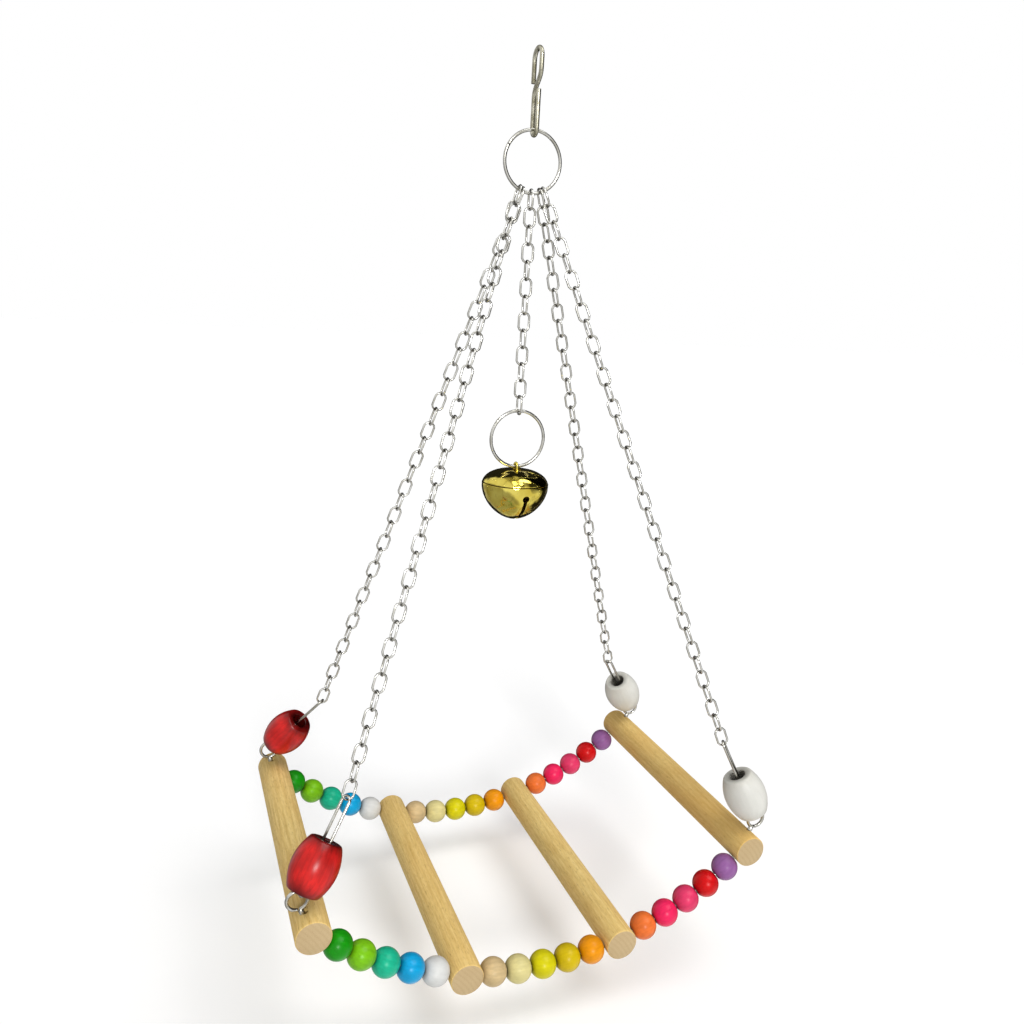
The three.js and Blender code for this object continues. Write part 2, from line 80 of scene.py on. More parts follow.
def addCamera():
    azimuth, elevation, roll = (radians(camera[key]) for key in ("azimuth", "elevation", "roll"))
    ahead = Vector((sin(azimuth) * cos(elevation), cos(azimuth) * cos(elevation), -sin(elevation)))
    level = Vector((cos(azimuth), -sin(azimuth), 0))
    upright = level.cross(ahead)
    right = level * cos(roll) + upright * sin(roll)
    up = upright * cos(roll) - level * sin(roll)
    data = bpy.data.cameras.new("camera")
    data.lens = camera["lens"]
    data.sensor_width = camera["sensor"]
    data.clip_start = camera["nearest"]
    made = addObject("camera", data)
    turn = Matrix((right, up, -ahead)).transposed().to_4x4()
    made.matrix_world = Matrix.Translation(camera["place"]) @ turn
    bpy.context.scene.camera = made
    return right, up, ahead


cameraRight, cameraUp, cameraAhead = addCamera()
print("camera placed")


# a colour as it is seen, turned into the light that it reflects
def rgb(red, green, blue):
    def linear(share):
        return share / 12.92 if share <= 0.04045 else ((share + 0.055) / 1.055) ** 2.4
    return (*(linear(part / 255) for part in (red, green, blue)), 1)


# a tree of shader nodes, with the usual steps as short calls
class Nodes:
    def __init__(self, tree):
        self.tree = tree

    def add(self, kind, inputs=None, **settings):
        node = self.tree.nodes.new(kind)
        for key, value in settings.items():
            setattr(node, key, value)
        for key, value in (inputs or {}).items():
            self.feed(node.inputs[key], value)
        return node

    def feed(self, socket, value):
        if isinstance(value, bpy.types.NodeSocket):
            self.tree.links.new(value, socket)
        else:
            socket.default_value = value

    def math(self, operation, first, second=0.0, clamp=False):
        inputs = {0: first, 1: second}
        return self.add("ShaderNodeMath", inputs, operation=operation, use_clamp=clamp).outputs[0]

    def spread(self, value, low, high, outLow=0.0, outHigh=1.0):
        inputs = {"Value": value, "From Min": low, "From Max": high, "To Min": outLow, "To Max": outHigh}
        return self.add("ShaderNodeMapRange", inputs).outputs[0]

    def blend(self, share, first, second):
        node = self.add("ShaderNodeMix", {0: share, 6: first, 7: second}, data_type="RGBA")
        return node.outputs[2]

    # lays a tone over a colour, by how far a pattern has climbed from one level to another
    def lay(self, tone, colour, pattern, low, high, most=1.0, least=0.0):
        return self.blend(self.spread(pattern, low, high, least, most), colour, rgb(*tone))


# the material of one piece, whose patterns may be centred and turned with it
class Finish(Nodes):
    def __init__(self, name, centre=None, turn=None):
        self.material = bpy.data.materials.new(name)
        self.material.use_nodes = True
        super().__init__(self.material.node_tree)
        self.shader = self.tree.nodes["Principled BSDF"]
        self.coords = self.add("ShaderNodeTexCoord").outputs["Object"]
        if centre is not None:
            place = {"Vector": self.coords, "Location": centre, "Rotation": turn or (0, 0, 0)}
            self.coords = self.add("ShaderNodeMapping", place, vector_type="TEXTURE").outputs[0]

    # a pattern, drawn out along an axis where its stretch there is below 1
    def noise(self, scale, detail, rough, stretch=None):
        inputs = {"Vector": self.coords, "Scale": scale, "Detail": detail, "Roughness": rough}
        if stretch:
            mapping = {"Vector": self.coords, "Scale": stretch}
            inputs["Vector"] = self.add("ShaderNodeMapping", mapping).outputs[0]
        return self.add("ShaderNodeTexNoise", inputs).outputs["Fac"]

    def attribute(self, name):
        return self.add("ShaderNodeAttribute", attribute_name=name).outputs["Fac"]

    def bump(self, height, strength, depth):
        inputs = {"Height": height, "Strength": strength, "Distance": depth}
        self.put(Normal=self.add("ShaderNodeBump", inputs).outputs[0])

    def put(self, **inputs):
        for key, value in inputs.items():
            self.feed(self.shader.inputs[key.replace("_", " ")], value)


# steel wire: nickel plate, with pale and dull patches, drawing lines and fine pits. A pattern gives its scale,
# detail and roughness, and its stretch where it has one
steelLook = {
    "bright": (208, 207, 201), "dull": (156, 153, 141), "tarnish": (86, 80, 58), "tarnished": 0.3,
    "patches": (260, 4, 0.6), "specks": (1500, 3, 0.6), "scratches": (900, 2, 0.5), "lines": (1, 1, 1),
    "roughness": (0.16, 0.34), "strength": 0.2, "depth": 0.00002,
}


def steel(name, **changes):
    look = steelLook | changes
    finish = Finish(name)
    patches = finish.noise(*look["patches"])
    colour = finish.lay(look["dull"], rgb(*look["bright"]), patches, 0.35, 0.7)
    colour = finish.lay(look["tarnish"], colour, finish.noise(*look["specks"]), 0.58, 0.74, look["tarnished"])
    # link crowns darkened towards the crown colour: painted shade with some tarnish
    if "crown" in look:
        crown = finish.spread(finish.attribute("crown"), 0.05, 0.5)
        crown = finish.math("MULTIPLY", crown, finish.spread(patches, 0.3, 0.7, 0.55, 1))
        colour = finish.blend(crown, colour, rgb(*look["crown"]))
    roughness = finish.spread(patches, 0.3, 0.75, *look["roughness"])
    finish.put(Base_Color=colour, Metallic=1.0, Roughness=roughness)
    finish.bump(finish.noise(*look["scratches"], look["lines"]), look["strength"], look["depth"])
    return finish.material


# polished, gold-coloured brass, thin and a little dented
brassLook = {
    "bright": (232, 216, 108), "deep": (196, 172, 60), "stain": (104, 86, 26), "stained": 0.6,
    "patches": (170, 3, 0.5), "stains": (520, 5, 0.65), "dents": (165, 1.3, 0.45), "pits": (2600, 2, 0.5),
    "pitShare": 0.012, "roughness": (0.05, 0.16), "strength": 0.8, "depth": 0.0017,
}


def brass(name):
    look = brassLook
    finish = Finish(name)
    stains = finish.noise(*look["stains"])
    colour = finish.lay(look["deep"], rgb(*look["bright"]), finish.noise(*look["patches"]), 0.3, 0.7)
    colour = finish.lay(look["stain"], colour, stains, 0.6, 0.78, look["stained"])
    roughness = finish.spread(stains, 0.35, 0.75, *look["roughness"])
    finish.put(Base_Color=colour, Metallic=1.0, Roughness=roughness)
    pits = finish.math("MULTIPLY", finish.noise(*look["pits"]), look["pitShare"])
    height = finish.math("ADD", finish.noise(*look["dents"]), pits)
    finish.bump(height, look["strength"], look["depth"])
    return finish.material


# bare turned beech: growth rings seen along and across, pores and short dark flecks. A layer gives its pattern
# and tone, the levels between which it comes in, and how strong it gets
beechLook = {
    "pale": (231, 204, 135), "endPale": (192, 169, 130), "orange": (222, 170, 88),
    "heart": (0.016, 0.012), "ringWidth": 0.0017, "ringSway": 0.0024, "sway": (55, 2, 0.5, (1, 0.04, 1)),
    "grain": (1300, 4, 0.65, (1, 0.05, 1)), "ribs": (1500, 3, 0.6, (1, 0.25, 1)),
    "pores": (3600, 2, 0.6, (1, 0.09, 1)), "endPores": (3600, 2, 0.6), "mottle": (90, 3, 0.5, (1, 0.35, 1)),
    "saw": (420, 2, 0.5, (1, 1, 0.12)), "strength": 0.5, "depth": 0.0002, "endDepth": 0.00025,
    "layers": [
        ("rings", (220, 189, 110), 0.1, 1, 0.4), ("grain", (194, 159, 86), 0.42, 0.72, 0.7),
        ("ribs", (194, 159, 86), 0.5, 0.7, 0.45), ("pores", (154, 119, 62), 0.6, 0.72, 0.7),
    ],
    "endLayers": [
        ("rings", (172, 146, 104), 0.35, 1, 0.24), ("endPores", (138, 109, 70), 0.55, 0.7, 0.45),
        ("mottle", (172, 146, 104), 0.4, 0.7, 0.3),
    ],
}


# the log's heart lies well to one side, so its rings are wide arcs on the ends and long bands on the rod
def growthRings(finish):
    aside, above = beechLook["heart"]
    parts = finish.add("ShaderNodeSeparateXYZ", {0: finish.coords}).outputs
    across = {0: finish.math("ADD", parts[0], aside), 1: 0.0, 2: finish.math("ADD", parts[2], above)}
    fromHeart = finish.add("ShaderNodeCombineXYZ", across).outputs[0]
    distance = finish.add("ShaderNodeVectorMath", {0: fromHeart}, operation="LENGTH").outputs["Value"]
    sway = finish.math("MULTIPLY", finish.noise(*beechLook["sway"]), beechLook["ringSway"])
    place = finish.math("MULTIPLY", finish.math("ADD", distance, sway), 2 * pi / beechLook["ringWidth"])
    return finish.spread(finish.math("SINE", place), -1, 1)


def layered(finish, colour, patterns, layers):
    for pattern, tone, low, high, most in layers:
        colour = finish.lay(tone, colour, patterns[pattern], low, high, most)
    return colour


def beech(name, centre, tone):
    look = beechLook
    finish = Finish(name, centre)
    patterns = {key: finish.noise(*look[key]) for key in ("grain", "ribs", "pores", "mottle")}
    patterns["rings"] = growthRings(finish)
    grain, pores = patterns["grain"], patterns["pores"]
    colour = layered(finish, rgb(*look["pale"]), patterns, look["layers"])
    colour = finish.lay(look["orange"], colour, patterns["mottle"], 0.35, 0.7, 0.2 + tone, tone * 0.6)
    finish.put(Base_Color=colour, Roughness=finish.spread(grain, 0.3, 0.7, 0.58, 0.8), Specular_IOR_Level=0.3)
    fine = finish.math("ADD", finish.math("MULTIPLY", pores, 0.4), patterns["ribs"])
    finish.bump(finish.math("ADD", grain, fine), look["strength"], look["depth"])
    return finish.material


def endGrain(name, centre):
    look = beechLook
    finish = Finish(name, centre)
    patterns = {key: finish.noise(*look[key]) for key in ("endPores", "mottle", "saw")}
    patterns["rings"] = growthRings(finish)
    pores, saw = patterns["endPores"], patterns["saw"]
    colour = layered(finish, rgb(*look["endPale"]), patterns, look["endLayers"])
    finish.put(Base_Color=colour, Roughness=finish.spread(pores, 0.3, 0.7, 0.75, 0.92), Specular_IOR_Level=0.2)
    height = finish.math("ADD", finish.math("MULTIPLY", saw, 0.6), finish.math("MULTIPLY", pores, 0.5))
    finish.bump(height, look["strength"], look["endDepth"])
    return finish.material


# paint or dye over turned wood: grain shows through, the ends are darkened by dye gathered at sharp edges
# and by painted shade, and the mouths of the bore are darkened by wear and painted shade
paintLook = {
    "grain": (800, 4, 0.6, (1, 1, 0.07)), "cloud": (170, 3, 0.5), "specks": (2400, 3, 0.6), "dulling": 0.14,
    "coatRoughness": 0.28, "coatIndex": 1.35, "strength": 0.3, "depth": 0.00016,
}


def paint(name, centre, turn, look):
    finish = Finish(name, centre, turn)
    grain, cloud, specks = (finish.noise(*paintLook[key]) for key in ("grain", "cloud", "specks"))
    colour = rgb(*look["colour"])
    deep = tuple(part * look["darkest"] for part in colour[:3]) + (1,)
    shade = finish.blend(finish.spread(grain, 0.42, 0.78, 0, look["thin"]), colour, deep)
    shade = finish.blend(finish.spread(cloud, 0.35, 0.8, 0, look["thin"]), shade, deep)
    # the rim mark darkens the ends towards the edge colour: dye gathered at the edges, with painted shade
    rim = finish.math("MULTIPLY", finish.attribute("rim"), finish.spread(cloud, 0.25, 0.7, 0.6, 1), clamp=True)
    shade = finish.blend(finish.math("MULTIPLY", rim, look["rimDyeAndShade"]), shade, rgb(*look["edge"]))
    # the mouths and insides of the bore are darkened towards the hollow colour: wear, with painted shade
    mouthMask = finish.spread(specks, 0.3, 0.6, 0.4, 1)
    mouthMask = finish.math("MULTIPLY", finish.attribute("mouth"), mouthMask, clamp=True)
    shade = finish.blend(finish.math("MULTIPLY", mouthMask, look["mouthWearAndShade"]), shade, rgb(*look["hollow"]))
    shade = finish.lay(look["under"], shade, specks, 0.66, 0.74, look["scuffs"])
    roughness = finish.spread(cloud, 0.3, 0.7, look["gloss"], look["gloss"] + paintLook["dulling"])
    finish.put(Base_Color=shade, Roughness=roughness)
    finish.put(Specular_IOR_Level=look["shine"], Specular_Tint=finish.blend(look["tint"], (1, 1, 1, 1), shade))
    finish.put(Coat_Weight=look["coat"], Coat_Tint=rgb(*look["lacquer"]))
    finish.put(Coat_Roughness=paintLook["coatRoughness"], Coat_IOR=paintLook["coatIndex"])
    height = finish.math("ADD", finish.math("MULTIPLY", grain, 0.8), finish.math("MULTIPLY", specks, 0.3))
    finish.bump(height, paintLook["strength"], paintLook["depth"])
    return finish.material


# studio: a pale floor, white all round, soft light from the upper right, and dark parts that only gloss sees
studio = {
    "floor": -0.338, "floorReach": 6, "floorColour": 0.8, "floorGlow": 0.22,
    "ambient": 0.3, "slope": 0.17, "palest": (0.3, -0.55, 0.8),
    "top": {"from": (0.36, -0.3, 1.0), "softness": 38, "power": 1.45},
    "front": {"from": (-0.12, -1.0, 0.42), "softness": 14, "power": 1.65},
    "behind": {"right": 0.42, "up": 0.3, "edge": (0.34, 0.52), "level": 0.02},
    "sides": {"right": 0.78, "up": 0.62, "edge": (0.5, 0.74), "level": 0.04, "lowLevel": 0.42},
}


def addSun(name):
    values = studio[name]
    data = bpy.data.lights.new(name, "SUN")
    data.angle = radians(values["softness"])
    data.energy = values["power"]
    lamp = addObject(name, data)
    lamp.rotation_euler = Vector(values["from"]).to_track_quat("Z", "Y").to_euler()


def addWorld():
    world = bpy.data.worlds.new("studio")
    world.use_nodes = True
    nodes = Nodes(world.node_tree)
    nodes.tree.nodes.clear()
    path = nodes.add("ShaderNodeLightPath").outputs
    direction = nodes.add("ShaderNodeTexCoord").outputs["Generated"]

    def facing(axis, low, high, outLow, outHigh):
        inputs = {0: direction, 1: axis.normalized()}
        reach = nodes.add("ShaderNodeVectorMath", inputs, operation="DOT_PRODUCT").outputs["Value"]
        return nodes.spread(reach, low, high, outLow, outHigh)

    def white(strength):
        return nodes.add("ShaderNodeBackground", {"Color": (1, 1, 1, 1), "Strength": strength}).outputs[0]

    # only polished things show the room's dark parts: behind the object, to its upper right, and less so to
    # its lower left
    behind, sides = studio["behind"], studio["sides"]
    axis = cameraAhead + cameraRight * behind["right"] + cameraUp * behind["up"]
    gloom = facing(axis, *behind["edge"], 1, behind["level"])
    axis = cameraRight * sides["right"] + cameraUp * sides["up"]
    gloom = nodes.math("MULTIPLY", gloom, facing(axis, *sides["edge"], 1, sides["level"]))
    gloom = nodes.math("MULTIPLY", gloom, facing(-axis, *sides["edge"], 1, sides["lowLevel"]))
    middle, slope = studio["ambient"], studio["slope"]
    soft = facing(Vector(studio["palest"]), -1, 1, middle - slope, middle + slope)
    isSeen = nodes.math("MAXIMUM", path["Is Camera Ray"], path["Is Transmission Ray"])
    plain = nodes.add("ShaderNodeMixShader", {0: isSeen, 1: white(soft), 2: white(1)}).outputs[0]
    room = nodes.add("ShaderNodeMixShader", {0: path["Is Glossy Ray"], 1: plain, 2: white(gloom)}).outputs[0]
    nodes.add("ShaderNodeOutputWorld", {"Surface": room})
    bpy.context.scene.world = world


def addFloor():
    bm = bmesh.new()
    bmesh.ops.create_grid(bm, x_segments=1, y_segments=1, size=studio["floorReach"])
    bmesh.ops.translate(bm, verts=bm.verts, vec=(0, 0, studio["floor"]))
    floor = addObject("floor", meshOf(bm, "floor"))
    material = bpy.data.materials.new("floor_paper")
    material.use_nodes = True
    nodes = Nodes(material.node_tree)
    nodes.tree.nodes.clear()
    diffuse = nodes.add("ShaderNodeBsdfDiffuse", {"Color": (studio["floorColour"],) * 3 + (1,)}).outputs[0]
    isSeen = nodes.add("ShaderNodeLightPath").outputs["Is Camera Ray"]
    strength = nodes.math("MULTIPLY", isSeen, studio["floorGlow"])
    glow = nodes.add("ShaderNodeEmission", {"Strength": strength}).outputs[0]
    both = nodes.add("ShaderNodeAddShader", {0: diffuse, 1: glow}).outputs[0]
    nodes.add("ShaderNodeOutputMaterial", {"Surface": both})
    floor.data.materials.append(material)
    floor.visible_glossy = False


addWorld()
addFloor()
for lampName in ("top", "front"):
    addSun(lampName)
bpy.context.scene.view_settings.view_transform = "Standard"
print("studio lit")

# tools that several pieces share; points closer than these many metres become one
merge = {"seam": 1e-7, "sliver": 1e-6}
wireEnd = {"round": 0.16, "angle": 60, "segments": 2}
holeSides = 28


def placed(origin, x, y, z):
    return Matrix.Translation(origin) @ Matrix((x, y, z)).transposed().to_4x4()


def piece(name, bm, materials, body, nodes, place=None, sharp=38):
    if place is not None:
        bmesh.ops.transform(bm, matrix=place, verts=bm.verts)
    for face in bm.faces:
        face.smooth = True
    mesh = meshOf(bm, name)
    mesh.set_sharp_from_angle(angle=radians(sharp))
    for material in materials:
        mesh.materials.append(material)
    made = addObject(name, mesh)
    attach(made, body)
    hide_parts(*nodes)


# rounds every edge that is sharper than an angle, by an offset in mm
def soften(bm, offset, angle, segments):
    edges = [
        edge for edge in bm.edges if len(edge.link_faces) == 2 and edge.calc_face_angle(0) > radians(angle)
    ]
    bmesh.ops.bevel(
        bm, geom=edges, offset=offset * mm, segments=segments, profile=0.5, affect="EDGES", material=-1,
        clamp_overlap=True,
    )


# turns a half section, given as (radius, height) pairs in mm, about Z
def turned(section, sides, closed=False):
    bm = bmesh.new()
    points = [bm.verts.new((radius * mm, 0, height * mm)) for radius, height in section]
    edges = [bm.edges.new(pair) for pair in zip(points, points[1:])]
    if closed:
        edges.append(bm.edges.new((points[-1], points[0])))
    bmesh.ops.spin(
        bm, geom=points + edges, cent=(0, 0, 0), axis=(0, 0, 1), dvec=(0, 0, 0), angle=2 * pi, steps=sides,
        use_merge=True,
    )
    bmesh.ops.remove_doubles(bm, verts=bm.verts, dist=merge["seam"])
    bmesh.ops.recalc_face_normals(bm, faces=bm.faces)
    return bm


# takes a mesh up into a bmesh, a new one where none is given
def opened(mesh, bm=None):
    if bm is None:
        bm = bmesh.new()
    bm.from_mesh(mesh)
    bpy.data.meshes.remove(mesh)
    return bm


# the mesh of an object, with its thickness and modifiers worked out
def workedOut(thing):
    return bpy.data.meshes.new_from_object(thing.evaluated_get(bpy.context.evaluated_depsgraph_get()))


# a round wire along points, with softened cut ends
def wire(points, diameter, roundness):
    curve = bpy.data.curves.new("wire", "CURVE")
    curve.dimensions = "3D"
    spline = curve.splines.new("POLY")
    spline.points.add(len(points) - 1)
    for target, point in zip(spline.points, points):
        target.co = (*point, 1)
    curve.bevel_depth = diameter * mm / 2
    curve.bevel_resolution = roundness
    curve.use_fill_caps = True
    holder = addObject("wire", curve)
    bm = opened(workedOut(holder))
    bpy.data.objects.remove(holder)
    bmesh.ops.remove_doubles(bm, verts=bm.verts, dist=merge["seam"])
    bmesh.ops.recalc_face_normals(bm, faces=bm.faces)
    soften(bm, diameter * wireEnd["round"], wireEnd["angle"], wireEnd["segments"])
    return bm


def arcPoints(centre, radius, across, up, start, end, steps):
    turns = [radians(start + (end - start) * step / steps) for step in range(steps + 1)]
    return [centre + across * (radius * cos(turn)) + up * (radius * sin(turn)) for turn in turns]


# adds a plain rod to a bmesh of cutters, one for each hole
def drill(bm, start, end, diameter):
    along = (end - start).normalized()
    side = along.cross(yAxis if abs(along.y) < 0.9 else xAxis).normalized()
    place = placed((start + end) / 2, side, along.cross(side), along)
    radius, depth = diameter * mm / 2, (end - start).length
    bmesh.ops.create_cone(
        bm, cap_ends=True, segments=holeSides, radius1=radius, radius2=radius, depth=depth, matrix=place
    )


def cut(mesh, cutters):
    body, tool = addObject("cut", mesh), addObject("cut", cutters)
    modifier = body.modifiers.new("holes", "BOOLEAN")
    modifier.object = tool
    modifier.operation = "DIFFERENCE"
    modifier.solver = "EXACT"
    made = workedOut(body)
    for holder in (body, tool):
        bpy.data.objects.remove(holder)
    return made


# takes a cut piece up again, without the slivers that a cut leaves
def reopened(mesh):
    bm = opened(mesh)
    bmesh.ops.remove_doubles(bm, verts=bm.verts, dist=merge["sliver"])
    bmesh.ops.dissolve_degenerate(bm, edges=bm.edges, dist=merge["sliver"])
    return bm


# marks how near a turned piece's surface is to its bore, and how near its outside is to its ends, in mm
def markEdges(bm, bore, reach, half, fade):
    mouth = bm.verts.layers.float.new("mouth")
    rim = bm.verts.layers.float.new("rim")
    for vert in bm.verts:
        vert[mouth] = max(0, 1 - (vert.co.xy.length - bore * mm) / (reach * mm))
        vert[rim] = max(0, 1 - (half * mm - abs(vert.co.z)) / (fade * mm))


def pointsOf(node):
    mesh = frame["nodes"][node].data
    found = np.zeros(len(mesh.vertices) * 3)
    mesh.vertices.foreach_get("co", found)
    return found.reshape(-1, 3)


def middleOf(node):
    low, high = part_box(node)
    return (low + high) / 2


# the long, middling and thin directions of a node about its middle
def axesOf(node):
    spread = np.linalg.svd(pointsOf(node) - np.array(middleOf(node)), full_matrices=False)[2]
    return [Vector(row) for row in spread]


def towards(direction, wanted):
    return direction if direction.dot(wanted) > 0 else -direction


# hook: one steel wire bent into an S
hook = {
    "wire": 1.6, "height": 29.4, "bend": 3.3, "lowerBend": 2, "crossing": 11.1, "upperTip": 7.5,
    "lowerTip": 12.5, "steps": 28, "roundness": 6,
    "look": {
        "bright": (200, 197, 180), "dull": (138, 133, 108), "tarnish": (70, 65, 40), "tarnished": 0.75,
        "lines": (1, 1, 0.1), "roughness": (0.3, 0.48),
    },
}


def addHook():
    bend, lowerBend, top = hook["bend"], hook["lowerBend"], hook["wire"] / 2
    bottom = top - (hook["height"] - hook["wire"])
    crossing = top - hook["crossing"]
    upper, lower = Vector((0, 0, top - bend)), Vector((0, 0, bottom + lowerBend))
    points = [Vector((0, bend, upper.z - hook["upperTip"]))]
    points += arcPoints(upper, bend, yAxis, zAxis, 0, 180, hook["steps"])
    # the spine crosses from the back of the upper bend to the front of the lower one
    start, end = upper.z - bend, 2 * crossing - (upper.z - bend)
    for step in range(hook["steps"] + 1):
        share = step / hook["steps"]
        height = (1 - share) ** 3 * start + 3 * share * (1 - share) * crossing + share ** 3 * end
        across = 3 * share ** 2 - 2 * share ** 3
        points.append(Vector((0, lowerBend * across - bend * (1 - across), height)))
    points += arcPoints(lower, lowerBend, yAxis, zAxis, 0, -180, hook["steps"])
    points.append(Vector((0, -lowerBend, lower.z + hook["lowerTip"])))
    bm = wire([point * mm for point in points], hook["wire"], hook["roundness"])
    piece("s_hook", bm, [steel("hook_steel", **hook["look"])], "hook", ["hook"])


addHook()
print("hook bent")

# rings, cut from coiled wire and closed end to end
ring = {
    "wire": 1.2, "outer": 22, "join": 0.16, "steps": 110, "roundness": 5,
    "seams": {"top_ring": 152, "bell_ring": 205},
}
ringSteel = steel("ring_steel", tarnished=0.2)


def addRing(name):
    radius = (ring["outer"] - ring["wire"]) / 2
    gap = degrees(ring["join"] / radius) / 2
    start, end = ring["seams"][name] + gap, ring["seams"][name] + 360 - gap
    points = arcPoints(middleOf(name), radius * mm, xAxis, zAxis, start, end, ring["steps"])
    piece(name + "_wire", wire(points, ring["wire"], ring["roundness"]), [ringSteel], name, [name])


addRing("top_ring")
addRing("bell_ring")
print("rings closed")

# chains of oval links, each a quarter turn round from the one before
link = {
    "wire": 0.8, "pitch": 6, "width": 4.8, "sides": 6, "steps": 12, "sway": 3, "crown": 1.5, "sharp": 80,
    "firstPart": 0.7, "turnStep": 0.25,
    # the crown colour is painted shade with some tarnish, where the links meet
    "look": {"bright": (228, 227, 222), "dull": (186, 184, 174), "crown": (62, 58, 48), "tarnished": 0.4},
}
chainSteel = steel("chain_steel", **link["look"])


# one oval link about the origin, long along Y: a ring whose two halves are drawn apart
def linkMesh():
    half = pi / link["steps"]
    radius = (link["width"] - link["wire"]) / 2 / cos(half)
    end = (link["pitch"] + link["wire"]) / 2
    bm = bmesh.new()
    place = Matrix.Rotation(half, 4, "Z") @ Matrix.Translation((radius, 0, 0)) @ Matrix.Rotation(pi / 2, 4, "X")
    bmesh.ops.create_circle(bm, segments=link["sides"], radius=link["wire"] / 2, matrix=place)
    bmesh.ops.spin(
        bm, geom=bm.verts[:] + bm.edges[:], cent=(0, 0, 0), axis=(0, 0, 1), dvec=(0, 0, 0), angle=2 * pi,
        steps=link["steps"], use_merge=True,
    )
    for side in (1, -1):
        moved = [vert for vert in bm.verts if vert.co.y * side > 0]
        bmesh.ops.translate(bm, verts=moved, vec=(0, side * (end - radius), 0))
    bmesh.ops.recalc_face_normals(bm, faces=bm.faces)
    # the crowns, where one link bears on the next, are darkened by painted shade with some tarnish
    crown = bm.verts.layers.float.new("crown")
    for vert in bm.verts:
        away = Vector((vert.co.x, abs(vert.co.y) - end, vert.co.z)).length
        vert[crown] = max(0, 1 - away / link["crown"])
    bmesh.ops.scale(bm, vec=(mm, mm, mm), verts=bm.verts)
    return meshOf(bm, "link")


# where a chain starts, which way it runs, the side that its first link's width faces, and how long it is
def chainLine(node):
    points = pointsOf(node)
    down = towards(Vector(np.linalg.svd(points - points.mean(0), full_matrices=False)[2][0]), -zAxis)
    along = points @ np.array(down)
    # the first link lies square to the direction in which its own points reach least
    first = points[along < along.min() + link["firstPart"] * link["pitch"] * mm]
    side = down.cross(yAxis).normalized()
    turns = np.radians(np.arange(0, 180, link["turnStep"]))
    fan = np.outer(np.cos(turns), side) + np.outer(np.sin(turns), down.cross(side))
    thin = Vector(fan[np.ptp(first @ fan.T, axis=0).argmin()]).normalized()
    across = down.cross(thin).normalized()
    centre = Vector()
    for direction in (down, across, thin):
        reach = points @ np.array(direction)
        centre += direction * float((reach.max() + reach.min()) / 2)
    whole = along.max() - along.min() - 2 * link["wire"] * mm
    return centre - down * (whole / 2), down, across, whole


def addChain(name, body):
    start, down, across, whole = chainLine(name)
    normal = down.cross(across).normalized()
    oval = linkMesh()
    bm = bmesh.new()
    for number in range(round(whole / (link["pitch"] * mm))):
        before = len(bm.verts)
        bm.from_mesh(oval)
        bm.verts.ensure_lookup_table()
        tilt = random.uniform(-link["sway"], link["sway"]) if number else 0
        sway = Matrix.Rotation(radians(tilt), 4, "Y")
        place = start + down * ((number + 0.5) * link["pitch"] * mm)
        wide, flat = (normal, -across) if number % 2 else (across, normal)
        turn = placed(place, wide, down, wide.cross(down))
        bmesh.ops.transform(bm, matrix=turn @ sway, verts=bm.verts[before:])
    bpy.data.meshes.remove(oval)
    piece(name + "_links", bm, [chainSteel], body, [name], sharp=link["sharp"])


for corner in corners:
    addChain("chain_" + corner, "cradle")
addChain("bell_chain", "bell_chain")
print("chains hung")

# long wire loops through the barrel beads
loop = {"wire": 1.0, "width": 4.2, "length": 34.5, "join": 0.2, "steps": 16, "roundness": 4}
loopSteel = steel("loop_steel")


def addLoop(corner):
    node = "wire_loop_" + corner
    along, width, _ = axesOf(node)
    centre, up = middleOf(node), towards(along, zAxis)
    radius = (loop["width"] - loop["wire"]) / 2 * mm
    straight = (loop["length"] - loop["width"]) / 2 * mm
    # the wire starts and ends half way up one side, where its ends all but meet
    seam, halfGap = centre + width * radius, up * (loop["join"] / 2 * mm)
    points = [seam + halfGap]
    points += arcPoints(centre + up * straight, radius, width, up, 0, 180, loop["steps"])
    points += arcPoints(centre - up * straight, radius, width, up, 180, 360, loop["steps"])
    points.append(seam - halfGap)
    piece(node + "_wire", wire(points, loop["wire"], loop["roundness"]), [loopSteel], "cradle", [node])


for corner in corners:
    addLoop(corner)
print("wire loops bent")

# screw eyes: a threaded shank whose wire curls round to a ring
eye = {
    "wire": 1.2, "outer": 8, "opening": 14, "steps": 44, "roundness": 5, "neck": 0.7, "tipDepth": 0.01,
    "shank": 1.8, "shoulder": 0.45, "sides": 24, "sunk": 4.2, "hole": 2.2, "holeFrom": 1.3, "holeTo": 10,
    "thread": 0.24, "pitch": 0.7, "crest": 0.35, "firstTurn": 0.4, "runOut": 0.5, "taper": (0.4, 0.2),
}
eyeSteel = steel("eye_steel")


# screw eyes lean with the deck's curve, square to their dowels
def eyeLean(corner):
    lean = towards(axesOf("screw_eye_" + corner)[0], zAxis)
    return Vector((lean.x, 0, lean.z)).normalized()


